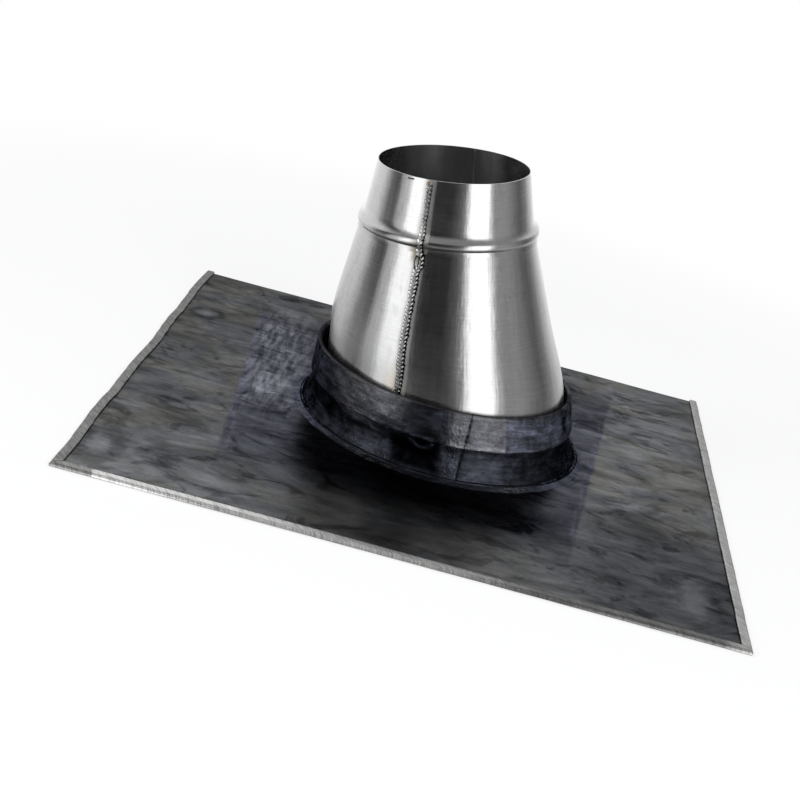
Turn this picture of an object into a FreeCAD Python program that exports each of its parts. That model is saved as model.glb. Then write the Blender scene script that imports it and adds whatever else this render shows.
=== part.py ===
import FreeCAD, Part
import math
import os
from FreeCAD import Matrix, Placement, Rotation, Vector

# Lead-and-steel flashing boot for a round pipe that stands upright through a pitched roof.
# Millimetres.  Origin: centre of the plate's underside.  +Z out of the roof, +X down the slope,
# -Y the front, where the boot's welded seam is.

# Plate: one lead sheet, three edges folded over
PLATE = 500.0
SHEET = 1.8
FOLD_GAP = 0.1
FOLD_HEIGHT = 2 * SHEET + FOLD_GAP
FLAP = 7.4
MITRE_GAP = 0.5
HOLE_R = 97.0
FOOT_X = 3.0
FOOT_Y = 18.5

# Neck and bead: radius against distance down from the mouth.  The ring planes lie tilted up the slope
# by RING_TILT and tipped to the front by RING_TIP.
STEEL = 0.7
RING_TILT = 8.8
RING_TIP = 2.1
MOUTH = Vector(-36.3, 10.4, 220.2)
MOUTH_R = 60.7
NECK_R = 67.7
NECK_LENGTH = 39.8
LEDGE_R = 71.9
LEDGE_S = 44.6
CREST_R = 72.9
CREST_S = 47.0
VALLEY_R = 71.6
VALLEY_S = 51.0
SKIRT_R = 72.3
SKIRT_S = 54.6

# Cone: its rings below the top one, as height, centre x, centre y, radius, tilt, tip and seam azimuth
CONE_TOP_S = 50.4
CONE_TOP_R = 70.35
CONE_TOP_SEAM = -102.3
BEND = (87.8, -12.8, 14.6, 92.7, 6.0, 1.2, -105.3)
LOWER = ((76.0, -7.0, 16.2, 96.2, 3.2, 0.6, -106.6),
         (66.0, -2.9, 17.4, 98.8, 1.2, 0.2, -107.7),
         (55.7, 0.1, 18.2, 100.6, 0.0, 0.0, -108.7),
         (40.0, 2.0, 18.5, 102.6, 0.0, 0.0, -109.3),
         (20.0, 2.8, 18.5, 104.2, 0.0, 0.0, -109.7),
         (SHEET, FOOT_X, FOOT_Y, 105.0, 0.0, 0.0, -109.9))

# Collar: a doubled upper band over a coved foot, leaning up the slope with its rings level
COLLAR_X = 6.7
COLLAR_Y = 18.5
COLLAR_LEAN = 0.154
COLLAR_TOP = 55.7
COLLAR_T = 2.2
BAND_TOP_R = 108.7
BAND_FOOT_R = 112.2
BAND_FOOT_Z = 28.2
COVE_TOP_R = 110.3
FLANGE_R = 120.4
FLANGE_T = 2.4
BURN_R = 125.4

# Seams
SLOT = 0.6
WELD_WIDTH = 4.6
WELD_RISE = 0.9
WELD_SINK = 0.35
KNOT_R = 2.6
NECK_SEAM = -102.6
JOINT_AZIMUTH = -80.6
JOINT_WIDTH = 16.0
JOINT_RISE = 0.8


def save(name, shape):
    """Write one piece to its own STEP file."""
    shape = shape.removeSplitter()
    if shape.ShapeType == "Compound" and len(shape.Solids) == 1:
        shape = shape.Solids[0]
    shape.exportStep("parts/" + name + ".step")


def revolve(edges):
    """A solid of revolution about Z from a closed section in the XZ plane."""
    return Part.Face(Part.Wire(edges)).revolve(Vector(0, 0, 0), Vector(0, 0, 1), 360)


def polar(radius, azimuth):
    """A level vector of the given length and azimuth."""
    angle = math.radians(azimuth)
    return Vector(radius * math.cos(angle), radius * math.sin(angle), 0)


def hem_section():
    """Section of a folded edge at x = 0: the round fold and the flap that lies over the sheet."""
    outer = FOLD_HEIGHT / 2
    inner = FOLD_GAP / 2
    under = Vector(outer, 0, 0)
    sheet_top = Vector(outer, 0, SHEET)
    flap_under = Vector(outer, 0, SHEET + FOLD_GAP)
    flap_top = Vector(outer, 0, FOLD_HEIGHT)
    tip_under = Vector(FLAP, 0, SHEET + FOLD_GAP)
    tip_edge = Vector(FLAP, 0, FOLD_HEIGHT - 0.5)
    tip_top = Vector(FLAP - 0.5, 0, FOLD_HEIGHT)
    edges = [Part.makeLine(under, sheet_top)]
    edges.append(Part.Arc(sheet_top, Vector(outer - inner, 0, outer), flap_under).toShape())
    edges.append(Part.makeLine(flap_under, tip_under))
    edges.append(Part.makeLine(tip_under, tip_edge))
    edges.append(Part.makeLine(tip_edge, tip_top))
    edges.append(Part.makeLine(tip_top, flap_top))
    edges.append(Part.Arc(flap_top, Vector(0, 0, outer), under).toShape())
    return Part.Face(Part.Wire(edges))


def prism(points):
    """An upright prism over a level polygon, tall enough for the hems."""
    corners = [Vector(x, y, -1) for x, y in points]
    return Part.Face(Part.makePolygon(corners + corners[:1])).extrude(Vector(0, 0, 10))


def side_hem():
    """The left edge's hem, mitred at its front end and cut square at its back end."""
    half = PLATE / 2
    hem = hem_section()
    hem.translate(Vector(-half, -half, 0))
    hem = hem.extrude(Vector(0, PLATE, 0))
    return hem.common(prism([(-half - 1, -half - 1), (-half + 20, -half + 20), (-half + 20, half + 1),
                             (-half - 1, half + 1)]))


def front_hem():
    """The front edge's hem, mitred at both ends."""
    half = PLATE / 2
    hem = hem_section()
    hem.rotate(Vector(0, 0, 0), Vector(0, 0, 1), 90)
    hem.translate(Vector(-half, -half, 0))
    hem = hem.extrude(Vector(PLATE, 0, 0))
    return hem.common(prism([(-half - 1, -half - 1), (half + 1, -half - 1), (half - 20, -half + 20),
                             (-half + 20, -half + 20)]))


def mitre_slit(side):
    """The open joint between two flaps at a front corner; side is -1 for the left and 1 for the right."""
    slit = Part.makeBox(20, MITRE_GAP, 4, Vector(2.4, -MITRE_GAP / 2, SHEET + FOLD_GAP / 2))
    slit.rotate(Vector(0, 0, 0), Vector(0, 0, 1), 45 if side < 0 else 135)
    slit.translate(Vector(side * PLATE / 2, -PLATE / 2, 0))
    return slit


def lead_plate():
    """The folded sheet with the boot's hole."""
    half = PLATE / 2
    edge = FOLD_HEIGHT / 2
    sheet = Part.makeBox(PLATE - 2 * edge, PLATE - edge, SHEET, Vector(-half + edge, -half + edge, 0))
    left = side_hem()
    right = left.mirror(Vector(0, 0, 0), Vector(1, 0, 0))
    plate = sheet.fuse([left, right, front_hem()])
    for side in (-1, 1):
        plate = plate.cut(mitre_slit(side))
    hole = Part.makeCylinder(HOLE_R, 10, Vector(FOOT_X, FOOT_Y, -5))
    return plate.cut(hole)


def lean(shape):
    """Lean a collar shape, built upright about Z, up the slope; its level rings stay round."""
    shear = Matrix()
    shear.A13 = -COLLAR_LEAN
    shear.A14 = COLLAR_X + COLLAR_LEAN * SHEET
    shear.A24 = COLLAR_Y
    return shape.transformGeometry(shear)


def collar_outline():
    """Corners of the collar's outer profile from its fold down to its flange, as radius and height."""
    fold = 2.0
    crest = []
    for step in range(1, 6):
        angle = math.radians(180 - 30 * step)
        crest.append((BAND_TOP_R - fold + fold * math.cos(angle), COLLAR_TOP - fold + fold * math.sin(angle)))
    top = [(BAND_TOP_R - 2 * fold, COLLAR_TOP - fold)] + crest
    band = [(BAND_TOP_R, COLLAR_TOP - fold), (BAND_FOOT_R, BAND_FOOT_Z + 0.6), (BAND_FOOT_R - 0.5, BAND_FOOT_Z)]
    return top + band


def collar_radius(z):
    """Outer radius of the collar at a height, down its band and then its cove."""
    if z >= BAND_FOOT_Z:
        t = (z - BAND_FOOT_Z) / (COLLAR_TOP - 2.0 - BAND_FOOT_Z)
        return BAND_FOOT_R + t * (BAND_TOP_R - BAND_FOOT_R)
    t = (BAND_FOOT_Z - z) / (BAND_FOOT_Z - SHEET - FLANGE_T)
    return COVE_TOP_R + (FLANGE_R - 3.0 - COVE_TOP_R) * t ** 2.4


def lead_collar():
    """The lead strip: rounded fold, doubled band with its cut edge, cove, flange and inner face."""
    top = SHEET + FLANGE_T
    points = collar_outline()
    points.append((COVE_TOP_R, BAND_FOOT_Z))
    for z in (20.0, 13.0, 8.0, 5.4):
        points.append((collar_radius(z), z))
    points += [(FLANGE_R - 3.0, top), (FLANGE_R - 0.6, top - 0.1), (FLANGE_R, top - 0.7), (FLANGE_R, SHEET)]
    points.append((FLANGE_R - 5.6, SHEET))
    for z in (8.0, 14.0, 20.0):
        points.append((collar_radius(z) - COLLAR_T, z))
    points.append((COVE_TOP_R - COLLAR_T, BAND_FOOT_Z))
    points.append(points[0])
    corners = [Vector(r, 0, z) for r, z in points]
    return lean(revolve([Part.makeLine(a, b) for a, b in zip(corners, corners[1:])]))


def collar_burn():
    """The burned ring between the flange's edge and the plate."""
    low = SHEET + 0.2
    high = SHEET + FLANGE_T - 0.7
    corners = [Vector(r, 0, z) for r, z in ((FLANGE_R, SHEET), (FLANGE_R, high), (FLANGE_R + 1.6, SHEET + 0.9),
                                            (BURN_R, low), (BURN_R, SHEET), (FLANGE_R, SHEET))]
    return lean(revolve([Part.makeLine(a, b) for a, b in zip(corners, corners[1:])]))


def strip_wire(surface, out, along, width, rise, sink):
    """Section of a weld run: a low crown over a narrower root that is sunk below the surface."""
    side = out.cross(along)
    side.normalize()
    left = surface - side * (width / 2) - out * 0.06
    right = surface + side * (width / 2) - out * 0.06
    root_left = surface - side * (width / 4) - out * sink
    root_right = surface + side * (width / 4) - out * sink
    crown = Part.Arc(left, surface + out * rise, right).toShape()
    return Part.Wire([crown, Part.makeLine(right, root_right), Part.makeLine(root_right, root_left),
                      Part.makeLine(root_left, left)])


def joint_burn(collar):
    """The flat burned run over the collar's upright joint, from below the rim to the flange."""
    out = polar(1, JOINT_AZIMUTH)
    wires = []
    for z, scale in ((50.0, 0.80), (44.0, 0.92), (36.0, 1.0), (29.0, 1.0), (26.6, 1.0), (20.0, 1.03), (13.0, 1.06),
                     (8.0, 1.1)):
        surface = out * collar_radius(z) + Vector(0, 0, z)
        wires.append(strip_wire(surface, out, Vector(0, 0, -1), JOINT_WIDTH * scale, JOINT_RISE, 1.2))
    run = lean(Part.makeLoft(wires, True, True)).cut(collar)
    return max(run.Solids, key=lambda solid: solid.Volume)


def neck_placement():
    """Where the neck stands: its own frame has the mouth at the origin and the axis along Z."""
    turn = Rotation(Vector(1, 0, 0), RING_TIP).multiply(Rotation(Vector(0, 1, 0), -RING_TILT))
    return Placement(MOUTH, turn)


def neck_profile(inset):
    """Edges of the neck's outer profile, or of its inner one when inset by the sheet's thickness."""
    def v(radius, distance):
        return Vector(radius - inset, 0, -distance)
    low = inset * 0.5
    ledge_mid = v((NECK_R + LEDGE_R) / 2 - 0.8, (NECK_LENGTH + LEDGE_S) / 2 + low)
    skirt_mid = v((VALLEY_R + SKIRT_R) / 2 - 0.1, (VALLEY_S + SKIRT_S) / 2)
    mouth = v(MOUTH_R, 0)
    neck_foot = v(NECK_R, NECK_LENGTH + low)
    ledge = v(LEDGE_R, LEDGE_S + low)
    valley = v(VALLEY_R, VALLEY_S)
    skirt = v(SKIRT_R, SKIRT_S)
    edges = [Part.makeLine(mouth, neck_foot)]
    edges.append(Part.Arc(neck_foot, ledge_mid, ledge).toShape())
    edges.append(Part.Arc(ledge, v(CREST_R, CREST_S), valley).toShape())
    edges.append(Part.Arc(valley, skirt_mid, skirt).toShape())
    return edges, mouth, skirt


def ring_placement(ring):
    """Where one ring of the cone lies."""
    z, x, y, tilt, tip = ring[0], ring[1], ring[2], ring[4], ring[5]
    turn = Rotation(Vector(1, 0, 0), tip).multiply(Rotation(Vector(0, 1, 0), -tilt))
    return Placement(Vector(x, y, z), turn)


def cone_rings():
    """The cone's rings from the top one, inside the bead's skirt, to the foot on the plate."""
    top = neck_placement().multVec(Vector(0, 0, -CONE_TOP_S))
    first = (top.z, top.x, top.y, CONE_TOP_R, RING_TILT, RING_TIP, CONE_TOP_SEAM)
    return [first, BEND] + list(LOWER)


def ring_wire(ring, inset):
    """A circle in the ring's plane that starts on its down-slope side."""
    wire = Part.Wire(Part.makeCircle(ring[3] - inset))
    wire.Placement = ring_placement(ring)
    return wire


def cone_volume(inset):
    """The cone's outside (inset 0) or inside (inset by the sheet), as a filled shape."""
    wires = [ring_wire(ring, inset) for ring in cone_rings()]
    upper = Part.makeLoft(wires[:2], True, True)
    lower = Part.makeLoft(wires[1:], True, False)
    return upper.fuse(lower)


def neck_filled():
    """Everything inside the outer face of the neck and bead."""
    edges, mouth, skirt = neck_profile(0)
    top = Vector(0, 0, mouth.z)
    foot = Vector(0, 0, skirt.z)
    body = revolve(edges + [Part.makeLine(skirt, foot), Part.makeLine(foot, top), Part.makeLine(top, mouth)])
    body.Placement = neck_placement()
    return body


def neck_seam_points():
    """Points down the seam: along the straight neck, then over the bead and its skirt."""
    edges, mouth, skirt = neck_profile(0)
    foot = edges[0].Vertexes[1].Point
    straight = [mouth + (foot - mouth) * t for t in (0.01, 0.5, 1.0)]
    bead = []
    for edge in edges[1:]:
        bead += edge.discretize(Number=3)[1:]
    turn = Rotation(Vector(0, 0, 1), NECK_SEAM)
    place = neck_placement()
    straight = [place.multVec(turn.multVec(point)) for point in straight]
    return straight, [place.multVec(turn.multVec(point)) for point in bead]


def cone_seam_points():
    """Points down the outside of the cone along the seam, starting just below the bead's skirt."""
    rings = cone_rings()
    on_ring = [ring_placement(ring).multVec(polar(ring[3], ring[6])) for ring in rings]
    start, bend = on_ring[0], on_ring[1]
    upper = [start + (bend - start) * t for t in (0.07, 0.16, 0.5, 1.0)]
    return upper + on_ring[2:6]


def seam_sections(points, half_width, rise, sink):
    """Rectangular slot sections across the seam at each point."""
    wires = []
    for index, point in enumerate(points):
        out, side = seam_frame(points, index)
        corners = [point - side * half_width - out * sink, point + side * half_width - out * sink,
                   point + side * half_width + out * rise, point - side * half_width + out * rise]
        wires.append(Part.makePolygon(corners + corners[:1]))
    return wires


def seam_frame(points, index):
    """The outward and sideways directions of the seam at one of its points."""
    along = points[min(index + 1, len(points) - 1)] - points[max(index - 1, 0)]
    along.normalize()
    out = polar(1, NECK_SEAM - 1.5)
    out = out - along * out.dot(along)
    out.normalize()
    side = out.cross(along)
    side.normalize()
    return out, side


def slot_cut(points):
    """The gap between the rolled sheet's two edges, a little longer than the seam's points."""
    first = points[0] + (points[0] - points[1]) * 0.2
    last = points[-1] + (points[-1] - points[-2]) * 1.6
    line = [first] + points + [last]
    return Part.makeLoft(seam_sections(line, SLOT / 2, 3.0, 3.0), True, True)


def spigot():
    """The tapered neck with its swaged bead, rolled from one strip that meets at the seam."""
    outer, mouth_out, skirt_out = neck_profile(0)
    inner, mouth_in, skirt_in = neck_profile(STEEL)
    edges = outer + [Part.makeLine(skirt_out, skirt_in)] + inner[::-1] + [Part.makeLine(mouth_in, mouth_out)]
    ring = revolve(edges)
    ring.Placement = neck_placement()
    slot = Part.makeBox(80, SLOT, 120, Vector(20, -SLOT / 2, -100))
    slot.rotate(Vector(0, 0, 0), Vector(0, 0, 1), NECK_SEAM)
    slot.Placement = neck_placement().multiply(slot.Placement)
    return ring.cut(slot)


def cone():
    """The rolled cone with its straighter skirt, standing on the plate."""
    shell = cone_volume(0).cut(cone_volume(STEEL))
    rings = cone_rings()
    points = [ring_placement(ring).multVec(polar(ring[3], ring[6])) for ring in rings]
    return shell.cut(slot_cut(points))


def crown_run(points):
    """A low weld crown along the given points."""
    wires = []
    for index, point in enumerate(points):
        out, side = seam_frame(points, index)
        wires.append(strip_wire(point, out, side.cross(out), WELD_WIDTH, WELD_RISE, WELD_SINK))
    return Part.makeLoft(wires, True, True)


def seam_weld():
    """The weld on the seam: two straight crowns joined by a knot of overlapping puddles on the bead."""
    straight, bead = neck_seam_points()
    cone_points = cone_seam_points()
    puddles = [Part.makeSphere(KNOT_R, point) for point in [straight[-1]] + bead + cone_points[:1]]
    weld = crown_run(straight).fuse([crown_run(cone_points)] + puddles)
    weld = weld.cut(neck_filled()).cut(cone_volume(0))
    return max(weld.Solids, key=lambda solid: solid.Volume)


os.makedirs("parts", exist_ok=True)
save("lead_plate", lead_plate())
collar = lead_collar()
save("lead_collar", collar)
save("collar_burn", collar_burn())
save("joint_burn", joint_burn(collar))
save("spigot", spigot())
save("cone", cone())
save("seam_weld", seam_weld())
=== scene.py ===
"""Dresses a flashing boot: brushed steel neck and cone in a burned lead collar on a folded lead plate."""
from __future__ import annotations

import logging
import math
from dataclasses import dataclass, field
from enum import Enum
from functools import partial
from typing import Callable, Optional, Sequence, Union

import bmesh
import bpy
import numpy as np
from mathutils import Matrix, Vector, noise

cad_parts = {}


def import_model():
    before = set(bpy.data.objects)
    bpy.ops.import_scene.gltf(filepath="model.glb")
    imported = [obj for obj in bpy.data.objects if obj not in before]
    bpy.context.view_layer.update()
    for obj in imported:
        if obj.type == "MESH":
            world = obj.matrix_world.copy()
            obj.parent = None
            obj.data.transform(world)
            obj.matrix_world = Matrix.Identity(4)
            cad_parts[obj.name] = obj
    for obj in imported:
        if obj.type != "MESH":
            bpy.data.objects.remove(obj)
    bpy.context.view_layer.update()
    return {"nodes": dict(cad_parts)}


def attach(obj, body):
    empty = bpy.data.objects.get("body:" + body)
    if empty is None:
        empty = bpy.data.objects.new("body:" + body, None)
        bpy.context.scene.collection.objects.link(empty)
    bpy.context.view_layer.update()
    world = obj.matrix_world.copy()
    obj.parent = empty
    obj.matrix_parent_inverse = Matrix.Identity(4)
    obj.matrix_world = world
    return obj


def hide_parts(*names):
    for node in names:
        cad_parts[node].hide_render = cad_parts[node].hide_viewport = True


MM = 0.001
PER_METRE = 1000.0
UV_UNIT = 100.0  # millimetres, or degrees, to one unit of a UV map
WALL_ARC = 1.92  # millimetres of collar wall to one degree
FULL_TURN = 360.0
log = logging.getLogger("boot")
Inputs = dict[Union[str, int], object]
Colour = tuple[float, float, float]


class Slot(Enum):
    """Names of the material slots."""

    SHEET_LEAD = "sheet_lead"
    BURNED_LEAD = "burned_lead"
    STAINLESS = "stainless"
    WELD = "weld"


# ---------------------------------------------------------------- shader and node tree helpers


def grey(level: float) -> tuple[float, float, float, float]:
    """An opaque grey for a colour socket."""
    return (level, level, level, 1.0)


def math_method(operation: str, swapped: bool = False) -> Callable[..., Field]:
    """A method of Field that adds one Math node.

    Args:
        operation: the Math node's operation.
        swapped: whether the field is the last input, as Python's reflected operators need.

    Returns:
        The method.
    """

    def method(self: Field, *others: object) -> Field:
        """Add the node and return its result."""
        values = (*others, self) if swapped else (self, *others)
        return self.tree.value("ShaderNodeMath", {"operation": operation}, dict(enumerate(values)))

    return method


class Field:
    """A value in a node tree that Python's operators extend with Math nodes."""

    __add__, __radd__ = math_method("ADD"), math_method("ADD", True)
    __sub__, __rsub__ = math_method("SUBTRACT"), math_method("SUBTRACT", True)
    __mul__, __rmul__ = math_method("MULTIPLY"), math_method("MULTIPLY", True)
    __truediv__, __pow__ = math_method("DIVIDE"), math_method("POWER")
    __abs__, root = math_method("ABSOLUTE"), math_method("SQRT")
    highest, lowest = math_method("MAXIMUM"), math_method("MINIMUM")
    angle = math_method("ARCTAN2")

    def __init__(self, tree: Tree, socket: bpy.types.NodeSocket) -> None:
        """Wrap one output socket of a tree."""
        self.tree = tree
        self.socket = socket

    def __neg__(self) -> Field:
        """The value with its sign turned."""
        return self * -1.0

    def step(self, low: float, high: float) -> Field:
        """A smooth step from 0 at low to 1 at high."""
        inputs: Inputs = {"Value": self, "From Min": low, "From Max": high, "To Min": 0.0, "To Max": 1.0}
        return self.tree.value("ShaderNodeMapRange", {"interpolation_type": "SMOOTHSTEP"}, inputs)

    def band(self, centre: float, half: float, soft: float) -> Field:
        """A mask that is 1 within half of centre and fades out over soft."""
        return 1.0 - abs(self - centre).step(half, half + soft)

    def sway(self, reach: float) -> Field:
        """Noise brought to an average of 0 and stretched to a reach."""
        return (self - 0.5) * reach

    def lift(self, power: float) -> Field:
        """Noise brought to an average of about 1 and sharpened by a power."""
        return (self * 2.0) ** power

    def touched(self, *marks: tuple[Field, float]) -> Field:
        """The value after marks, each a mask and the share by which it raises or lowers the value."""
        result = self
        for mask, share in marks:
            result = result * (mask * share + 1.0)
        return result


class Tree:
    """Adds nodes to one node tree."""

    def __init__(self, tree: bpy.types.NodeTree, empty: bool = False) -> None:
        """Take over an existing tree, and clear it where it should be empty."""
        self.tree = tree
        if empty:
            tree.nodes.clear()

    def node(self, kind: str, settings: Optional[dict] = None, inputs: Optional[Inputs] = None) -> bpy.types.Node:
        """Add a node.

        Args:
            kind: the node's type.
            settings: its own settings, with a ramp's stops under "stops".
            inputs: values, fields, sockets or nodes (for their first output), by the input's name or number.

        Returns:
            The node.
        """
        node = self.tree.nodes.new(kind)
        for name, value in (settings or {}).items():
            if name == "stops":
                self.set_stops(node.color_ramp, value)
            else:
                setattr(node, name, value)
        for name, value in (inputs or {}).items():
            if isinstance(value, Field):
                value = value.socket
            if isinstance(value, bpy.types.Node):
                value = value.outputs[0]
            if isinstance(value, bpy.types.NodeSocket):
                self.tree.links.new(value, node.inputs[name])
            else:
                node.inputs[name].default_value = value
        return node

    @staticmethod
    def set_stops(ramp: bpy.types.ColorRamp, stops: list[tuple[float, float]]) -> None:
        """Set a ramp's grey stops, each a position and a level, from 0 to 1 in order."""
        for position, level in stops[1:-1]:
            ramp.elements.new(position).color = grey(level)
        for element, (_, level) in ((ramp.elements[0], stops[0]), (ramp.elements[-1], stops[-1])):
            element.color = grey(level)

    def value(self, kind: str, settings: Optional[dict] = None, inputs: Optional[Inputs] = None,
              output: Union[str, int] = 0) -> Field:
        """Add a node and return one of its outputs as a field."""
        return Field(self, self.node(kind, settings, inputs).outputs[output])

    def combine(self, *parts: object) -> Field:
        """A vector of three values."""
        return self.value("ShaderNodeCombineXYZ", None, dict(enumerate(parts)))

    def split(self, vector: object) -> tuple[Field, ...]:
        """The three values of a vector."""
        return tuple(Field(self, out) for out in self.node("ShaderNodeSeparateXYZ", None, {0: vector}).outputs)

    def blend(self, share: object, first: object, second: object) -> bpy.types.Node:
        """Mix two shaders."""
        return self.node("ShaderNodeMixShader", None, {0: share, 1: first, 2: second})

    def grain(self, place: tuple[Field, ...], size: tuple[float, ...], detail: float = 3.0,
              roughness: float = 0.6, stir: float = 0.0) -> Field:
        """Fractal noise, about 0.5 on average.

        Args:
            place: up to three coordinates.
            size: a feature's size along each coordinate, and then where the other axes are cut.
            detail: the number of octaves.
            roughness: how strong the finer octaves are.
            stir: how far the pattern is distorted.

        Returns:
            The noise.
        """
        parts = [axis / width for axis, width in zip(place, size)]
        vector = self.combine(*parts, *size[len(place):])
        inputs: Inputs = {"Vector": vector, "Scale": 1.0, "Detail": detail, "Roughness": roughness,
                          "Distortion": stir}
        return self.value("ShaderNodeTexNoise", {"noise_dimensions": "3D"}, inputs, "Fac")

    def mix(self, factor: object, first: object, second: object) -> bpy.types.NodeSocket:
        """Mix two colours, each a socket or red, green and blue."""
        ends = [end if isinstance(end, bpy.types.NodeSocket) else (*end, 1.0) for end in (first, second)]
        return self.node("ShaderNodeMix", {"data_type": "RGBA"}, {0: factor, 6: ends[0], 7: ends[1]}).outputs[2]

    def tint(self, level: Field, colour: Colour) -> bpy.types.NodeSocket:
        """A colour of the given hue whose brightness follows a field."""
        return self.combine(*(level * part for part in colour)).socket


def apart(x: Field, y: Field, centre: tuple[float, float], size: tuple[float, float] = (1.0, 1.0)) -> Field:
    """The squared distance from a centre, counted in a size along each axis."""
    return ((x - centre[0]) / size[0]) ** 2.0 + ((y - centre[1]) / size[1]) ** 2.0


class Paint:
    """A new Principled material whose tree is ready for nodes."""

    def __init__(self, name: str, **constants: object) -> None:
        """Start a material.

        Args:
            name: the material's name.
            constants: values of the shader's own sockets, with underscores for spaces.
        """
        self.material = bpy.data.materials.new(name)
        self.material.use_nodes = True
        self.tree = Tree(self.material.node_tree)
        self.shader = self.material.node_tree.nodes["Principled BSDF"]
        for key, value in constants.items():
            self.shader.inputs[key.replace("_", " ")].default_value = value

    def place(self) -> tuple[Field, ...]:
        """Object coordinates in millimetres."""
        coords = self.tree.node("ShaderNodeTexCoord").outputs["Object"]
        return tuple(axis * PER_METRE for axis in self.tree.split(coords))

    def unrolled(self, name: str) -> tuple[Field, ...]:
        """The two coordinates of one of the piece's own UV maps, in millimetres or degrees."""
        coords = self.tree.node("ShaderNodeUVMap", {"uv_map": name})
        return tuple(axis * UV_UNIT for axis in self.tree.split(coords)[:2])

    def finish(self, colour: bpy.types.NodeSocket, roughness: Field, relief: Field) -> bpy.types.Material:
        """Feed the shader.

        Args:
            colour: the base colour.
            roughness: the roughness.
            relief: a height in millimetres that drives the normal.

        Returns:
            The finished material.
        """
        bump = self.tree.node("ShaderNodeBump", None, {"Strength": 1.0, "Distance": MM, "Height": relief})
        for name, socket in (("Base Color", colour), ("Roughness", roughness.socket), ("Normal", bump.outputs[0])):
            self.material.node_tree.links.new(socket, self.shader.inputs[name])
        return self.material


# ---------------------------------------------------------------- finishes


@dataclass(frozen=True)
class BrushedSteel:
    """Stainless sheet brushed round the boot, with a heat tint beside its weld.

    The UV map holds the distance from the seam round the boot and the distance down from the mouth,
    each in decimetres.
    """

    name: str = "brushed_stainless"
    uv: str = "Rolled"
    base: float = 0.51
    satin: float = 0.23
    clean: Colour = (0.995, 1.0, 1.0)
    straw: Colour = (0.86, 0.74, 0.56)
    scorched: Colour = (0.20, 0.10, 0.07)
    eye: tuple[float, float] = (-2.0, 62.0)
    eye_size: tuple[float, float] = (2.1, 5.0)

    def build(self) -> bpy.types.Material:
        """Make the material."""
        paint = Paint(self.name, Metallic=1.0, Anisotropic=0.90, Anisotropic_Rotation=0.25)
        tree = paint.tree
        across, down = paint.unrolled(self.uv)
        grain = partial(tree.grain, (across, down))
        fine = grain((16.0, 0.30, 1.0), 2.0)
        coarse = grain((34.0, 1.3, 4.0))
        smear = grain((14.0, 30.0, 7.0), 3.0, 0.55)
        long = grain((6.0, 75.0, 11.0), 3.0, 0.55, 0.3)
        smudge = grain((8.0, 19.0, 15.0), 3.0, 0.6, 0.5).step(0.52, 0.72)
        near = (across + smear.sway(5.0)).band(0.0, 2.5, 5.0)
        knot = (across + smear.sway(6.0)).band(-2.0, 3.0, 5.0) * down.band(54.0, 4.0, 8.0)
        rim = across.band(-1.7, 0.6, 1.8) * down.band(2.8, 0.6, 1.4)
        foot = across.band(-4.0, 3.0, 9.0) * down.step(140.0, 156.0)
        slit = across.band(-18.4, 3.2, 0.4) * (down + (across + 17.6) * 0.03).band(1.9, 0.35, 0.20)
        eye = apart(across, down, self.eye, self.eye_size).root().band(1.0, 0.16, 0.22)
        strip = across.band(4.0, 0.6, 1.4)
        level = self.base + fine.sway(0.14) + coarse.sway(0.14) + long.sway(0.10)
        # The neck above the bead is painted 8% brighter, a painted highlight that lifts its reflections.
        level = level.touched((eye, -0.93), (strip, 0.45), (down.step(50.0, 44.0), 0.08), (near, -0.10),
                              (smudge, -0.12), (slit, -0.96), (knot, -0.5))
        heat = (near * 0.06 + knot * 0.55 + foot * 0.45 + rim * 0.5).lowest(0.85)
        metal = tree.mix(heat, tree.tint(level, self.clean), tree.tint(level, self.straw))
        roughness = self.satin + coarse.sway(0.07) + smear.sway(0.08) + long.sway(0.06) + near * 0.10
        relief = coarse * 0.006 + long * 0.09 + smear * 0.12 + near * smear * 0.10 - slit * 0.5
        return paint.finish(tree.mix(rim * 0.7, metal, self.scorched), roughness + strip * 0.08, relief)


@dataclass(frozen=True)
class WeldMetal:
    """Rippled weld metal, heat tinted in places, with painted shade between its puddles and painted glints on their
    crowns.

    It reads the bead's crown attribute, 0 at a puddle's foot and 1 at its top.
    """

    name: str
    # low is the painted shade between puddles and high the painted glint on their crowns; crown_glint is the crown
    # height where the glint begins.
    low: float
    high: float
    crown_glint: float
    rough: float
    plain: float = 182.0
    clean: Colour = (1.0, 1.0, 0.99)
    straw: Colour = (1.0, 0.86, 0.70)

    def build(self) -> bpy.types.Material:
        """Make the material."""
        paint = Paint(self.name, Metallic=1.0)
        tree = paint.tree
        place = paint.place()
        grain = tree.grain(place, (1.3, 1.3, 1.0), 4.0)
        tint = tree.grain(place, (6.0, 6.0, 6.0)).step(0.52, 0.68)
        crown = tree.value("ShaderNodeAttribute", {"attribute_name": "crown"}, None, "Fac")
        # Painted glint on each puddle's crown and painted shade below it, read from the crown attribute.
        crown_glint = (crown + grain.sway(0.25)).step(self.crown_glint - 0.10, self.crown_glint + 0.10)
        # Higher than the plain height the painted glints are dimmed.
        plain = place[2].step(self.plain - 4.0, self.plain + 4.0)
        level = (self.low + (self.high - self.low) * crown_glint * (1.0 - plain * 0.45)) * (0.5 + grain)
        metal = tree.mix(tint * 0.20, tree.tint(level, self.clean), tree.tint(level * 0.8, self.straw))
        return paint.finish(metal, self.rough + grain.sway(0.2), grain * 0.25 + crown_glint * 0.35)


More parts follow.
